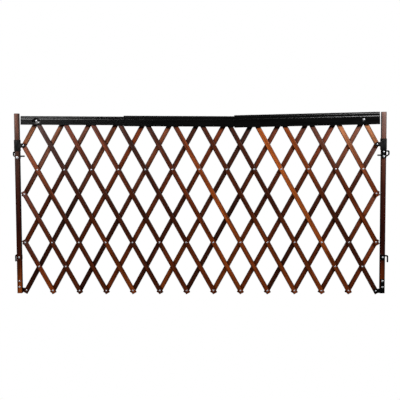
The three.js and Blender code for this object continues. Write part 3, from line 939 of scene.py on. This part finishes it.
# Ring sizes and places, in shares of a rod's radius, that round off its end.
ROD_END = [(0.45, 0.0), (0.8, 0.12), (1.0, 0.4)]


def end_rounding(k, count):
    """The sizes of the rings at a rod's station k and how far each is pushed along the rod."""
    if k == 0:
        return ROD_END
    if k == count - 1:
        return [(grow, -push) for grow, push in reversed(ROD_END)]
    return [(1.0, 0.0)]


def bent_rod(name, route, radius, bend_radius, sides=16):
    """A round rod along straight runs joined by bends, all at one y. The route is (x, z)."""
    path = []
    for k, corner in enumerate(route):
        here = Vector(corner)
        if k in (0, len(route) - 1):
            path.append(here)
            continue
        before = (Vector(route[k - 1]) - here).normalized()
        after = (Vector(route[k + 1]) - here).normalized()
        start, end = here + before * bend_radius, here + after * bend_radius
        for step in range(BEND_STEPS + 1):
            t = step / BEND_STEPS
            path.append(start * (1 - t) ** 2 + here * 2 * t * (1 - t) + end * t * t)
    rings = []
    for k, spot in enumerate(path):
        along = (path[min(k + 1, len(path) - 1)] - path[max(k - 1, 0)]).normalized()
        sideways = Vector((-along.y, along.x))
        for grow, push in end_rounding(k, len(path)):
            ring = []
            for s in range(sides):
                turn = 2 * math.pi * s / sides
                offset = sideways * (radius * grow * math.cos(turn))
                centre = spot + along * (radius * push)
                ring.append(
                    (centre.x + offset.x, radius * grow * math.sin(turn), centre.y + offset.y)
                )
            rings.append(ring)
    return lofted(name, rings)


HOOK_PLATE_HEIGHT = 23
HOOK_PLATE_SETBACK = 1  # of its outer edge from the post's outer face
HOOK_PLATE_CORNER = 2.0
HOOK_PLATE_EDGE = 0.5
HOOK_BOLT_HOLE = 2.6
HOOK_ROD_RADIUS = 3.6
HOOK_ROD_START = 4.8  # from the post's centre line, clear of the bolt's head
HOOK_BEND = 5.5


def add_lower_hook(side):
    """A flat plate on the post with a rod that runs out of it and bends down."""
    low, high = cad_box("right_lower_hook")
    rod_x = high.x - POST_X - HOOK_ROD_RADIUS
    rod_z = high.z - HOOK_ROD_RADIUS
    route = [(HOOK_ROD_START, rod_z), (rod_x, rod_z), (rod_x, low.z)]
    outline = rounded_box_outline(
        -POST_HALF, high.z - HOOK_PLATE_HEIGHT, POST_HALF - HOOK_PLATE_SETBACK, high.z,
        HOOK_PLATE_CORNER,
    )
    hole = circle(0, cad_centre("right_hook_bolt").z, HOOK_BOLT_HOLE)
    rear_y = -POST_FACE - FIT_GAP
    thickness = rear_y - cad_box("right_corner_bracket")[0].y  # both are cut from one sheet
    flat = plate("hook", [outline, hole], thickness, HOOK_PLATE_EDGE, rear_y)
    rod = bent_rod("rod", route, HOOK_ROD_RADIUS, HOOK_BEND)
    rod.transform(Matrix.Translation((0, (low.y + HOOK_ROD_RADIUS) * MM, 0)))
    mesh = joined("wall_hook", [flat, rod])
    add_to_side(
        side, "wall_hook", mesh, BLACK_STEEL, post_place(), "post", "lower_hook"
    )


LATCH_PLATE_CORNER = 1.6
LATCH_PLATE_EDGE = 0.6
LATCH_BOLT_HOLE = 2.9
LATCH_BOLT_SHANK = 2.6
LATCH_BOLT_FRONT = 4.8
LATCH_BOLT_REAR = 6.3
LATCH_SCREW_DROP = 7.9  # below the plate's top
LATCH_SCREW_HOLE = 2.3
LATCH_SCREW_HEAD = (3.6, 1.5)
LATCH_SCREW_GAP = 0.02
LATCH_SCREW_SHANK = 1.9
LATCH_SCREW_DEPTH = 8  # of its shank behind the plate
LATCH_SCREW_POINT = 9


def add_latch(side):
    """The backing plate and its upper screw."""
    low, high = cad_box("right_latch_plate")
    screw_z = high.z - LATCH_SCREW_DROP
    outline = rounded_box_outline(-POST_HALF, low.z, POST_HALF, high.z, LATCH_PLATE_CORNER)
    holes = [circle(0, LATCH_PIVOT.z, LATCH_BOLT_HOLE), circle(0, screw_z, LATCH_SCREW_HOLE)]
    back = plate("latch_back", [outline, *holes], high.y - low.y, LATCH_PLATE_EDGE, high.y)
    add_to_side(
        side, "latch_back", back, BLACK_STEEL, post_place(), "post", "latch_plate"
    )
    face = low.y - LATCH_SCREW_GAP
    profile = dome(*LATCH_SCREW_HEAD, face, -1) + [
        (LATCH_SCREW_SHANK, face),
        (LATCH_SCREW_SHANK, high.y + LATCH_SCREW_DEPTH),
        (0, high.y + LATCH_SCREW_POINT),
    ]
    screw = lathe("latch_screw", profile)
    add_to_side(side, "latch_screw", screw, ZINC, post_place(screw_z), "post")


LEVER_HUB = 8.0
LEVER_BAR = 6.6  # width of the hook and of the tail
LEVER_EDGE = 0.4
LEVER_TIP = 5.6  # from the bolt's axis to the hook's tip
LEVER_TAIL_RISE = 5.6
LEVER_TAIL_START = -3.5  # where the tail's upper edge leaves the hub
LEVER_ROOT = (2.0, 6.2)  # of the hook's outer edge: in from its reach, and up
OUTER_BEND = 2.5
OUTER_BEND_HEIGHT = 9.5
INNER_BEND = 1.5
INNER_BEND_HEIGHT = 10.0


def add_lever(side):
    """The hook, hub and tail of the latch lever in one plate, about its bolt."""
    low, high = cad_box("right_latch_lever")
    reach = high.x - POST_X
    tail = POST_X - low.x
    top = high.z - LATCH_PIVOT.z
    inner = reach - LEVER_BAR
    half_bar = LEVER_BAR / 2
    root_inset, root_z = LEVER_ROOT
    outline = (
        arc((0, 0), LEVER_HUB, 163, 311, 14)
        + [(reach - root_inset, root_z)]
        + arc((reach - OUTER_BEND, OUTER_BEND_HEIGHT), OUTER_BEND, -35, 0, 3)
        + arc((inner, top - LEVER_BAR), LEVER_BAR, 0, 90, 8)
        + arc((LEVER_TIP + half_bar, top - half_bar), half_bar, 90, 270, 8)
        + arc((inner - INNER_BEND, top - LEVER_BAR - INNER_BEND), INNER_BEND, 90, 0, 4)
        + arc((inner - INNER_BEND, INNER_BEND_HEIGHT), INNER_BEND, 0, -50, 3)
        + arc((0, 0), LEVER_HUB, 32, 92, 6)
        + [(LEVER_TAIL_START, LEVER_TAIL_RISE + half_bar)]
        + arc((-tail + half_bar, LEVER_TAIL_RISE), half_bar, 90, 270, 8)
    )
    hole = circle(0, 0, LATCH_BOLT_HOLE)
    lever = plate("lever", [outline, hole], high.y - low.y, LEVER_EDGE, high.y)
    place = post_place(LATCH_PIVOT.z)
    add_to_side(side, "lever", lever, BLACK_STEEL, place, "latch_lever", "latch_lever")
    add_latch_bolt(side, place, low.y - HEAD_GAP, POST_FACE + HEAD_GAP)


def add_latch_bolt(side, place, front_y, rear_y):
    """The lever's pivot, with a small head in front and a large one behind."""
    low, high = cad_box("right_latch_bolt")
    front_head = (LATCH_BOLT_FRONT, front_y - low.y - DOME_MARGIN)
    rear_head = (LATCH_BOLT_REAR, high.y - rear_y - DOME_MARGIN)
    bolt = headed_pin("latch_stud", LATCH_BOLT_SHANK, front_y, rear_y, front_head, rear_head)
    add_to_side(side, "latch_stud", bolt, ZINC, place, "post", "latch_bolt")


CAD_DOME = 2.0  # height of the CAD bolts' heads
SMALL_BOLT_SHANK = 2.2
SMALL_BOLT_HEAD = (4.2, 1.8)


def add_small_bolts(side):
    for stem in ("hook_bolt", "bracket_screw_upper", "bracket_screw_lower"):
        low, high = cad_box(f"right_{stem}")
        front_y = low.y + CAD_DOME
        rear_y = high.y - CAD_DOME
        head = SMALL_BOLT_HEAD
        bolt = headed_pin(f"{stem}_pin", SMALL_BOLT_SHANK, front_y, rear_y, head, head)
        place = post_place((low.z + high.z) / 2)
        add_to_side(side, f"{stem}_pin", bolt, ZINC, place, "post", stem)


# ---- Stage ----------------------------------------------------------------------------------

# Places and sizes are in metres and powers in watts.
LATTICE_TOP = (0.7, 0, 0.7)
RAIL_END = (0.7, 0, 0.78)
SIDE_BRIGHTNESS = {-1: 1.0, 1: 1.5}  # the right-hand side is lit more than the left
TOP_WATTS = 1.25
EDGE_WATTS = 11.0
FILL_WATTS = 98
SHEEN_WATTS = 3.0
BACK_WATTS = 40
ROOM_STRENGTH = 0.005
FLOOR_GREY = 0.09
FLOOR_HALF = 12


def area_light(name, location, target, size, watts):
    data = bpy.data.lights.new(name, "AREA")
    data.shape = "RECTANGLE"
    data.size, data.size_y = size
    data.energy = watts
    light = bpy.data.objects.new(name, data)
    bpy.context.scene.collection.objects.link(light)
    location = Vector(location)
    aim = (Vector(target) - location).to_track_quat("-Z", "Y")
    light.matrix_world = Matrix.Translation(location) @ aim.to_matrix().to_4x4()
    return light


def white_to_camera(tree, lit_shader, paper_kind, target):
    """A surface that the camera sees as plain white paper, and that lights as lit_shader."""
    path = tree.nodes.new("ShaderNodeLightPath")
    paper = tree.nodes.new(paper_kind)
    paper.inputs["Color"].default_value = grey(1)
    choose = tree.nodes.new("ShaderNodeMixShader")
    tree.links.new(path.outputs["Is Camera Ray"], choose.inputs[0])
    tree.links.new(lit_shader.outputs[0], choose.inputs[1])
    tree.links.new(paper.outputs[0], choose.inputs[2])
    tree.links.new(choose.outputs[0], target)


def add_world():
    world = bpy.data.worlds.new("studio")
    bpy.context.scene.world = world
    world.use_nodes = True
    tree = world.node_tree
    tree.nodes.clear()
    output = tree.nodes.new("ShaderNodeOutputWorld")
    room = tree.nodes.new("ShaderNodeBackground")
    room.inputs["Color"].default_value = grey(1)
    room.inputs["Strength"].default_value = ROOM_STRENGTH
    white_to_camera(tree, room, "ShaderNodeBackground", output.inputs["Surface"])


def add_floor():
    material = bpy.data.materials.new("pale_floor")
    material.use_nodes = True
    tree = material.node_tree
    tree.nodes.clear()
    output = tree.nodes.new("ShaderNodeOutputMaterial")
    matt = tree.nodes.new("ShaderNodeBsdfDiffuse")
    matt.inputs["Color"].default_value = grey(FLOOR_GREY)
    white_to_camera(tree, matt, "ShaderNodeEmission", output.inputs["Surface"])
    mesh = bpy.data.meshes.new("floor")
    corners = [(x * FLOOR_HALF, y * FLOOR_HALF, 0) for x, y in ((-1, -1), (1, -1), (1, 1), (-1, 1))]
    mesh.from_pydata(corners, [], [(0, 1, 2, 3)])
    piece("floor", mesh, material)


def add_lights():
    """The top lights show in no reflection. The edge lights and the sheen show only in them."""
    for side, brightness in SIDE_BRIGHTNESS.items():
        lattice_top, rail_end = [(side * x, y, z) for x, y, z in (LATTICE_TOP, RAIL_END)]
        top = area_light(
            f"top_{side}", (side * 0.8, -0.55, 1.32), lattice_top, (1.0, 0.1), TOP_WATTS * brightness
        )
        top.visible_glossy = False
        edge = area_light(
            f"edge_{side}", (side * 1.4, -1.3, 2.1), rail_end, (1.2, 0.3), EDGE_WATTS * brightness
        )
        edge.visible_diffuse = False
        area_light(f"fill_{side}", (side * 3.0, -2.6, 2.6), (0, 0, 0.4), (1.6, 1.2), FILL_WATTS)
    sheen = area_light("sheen", (-1.8, -3.7, 1.25), (-0.7, 0, 0.75), (1.0, 0.5), SHEEN_WATTS)
    sheen.visible_diffuse = False
    area_light("back", (0.4, 3.0, 2.4), (0, 0, 0.5), (3.0, 1.5), BACK_WATTS)


add_camera()
add_world()
add_floor()
add_lights()
add_slats("rear", REAR_STAINS_AND_LIGHT, -SLAT_ANGLE)
add_slats("front", FRONT_STAINS_AND_LIGHT, SLAT_ANGLE + math.pi)
add_rivets()
add_rails()
for gate_side in POST_STAINS_AND_LIGHT:
    add_post(gate_side)
for gate_side in SIDES:
    add_sleeve(gate_side)
    add_bracket(gate_side)
    add_lower_hook(gate_side)
    add_latch(gate_side)
    add_lever(gate_side)
    add_small_bolts(gate_side)
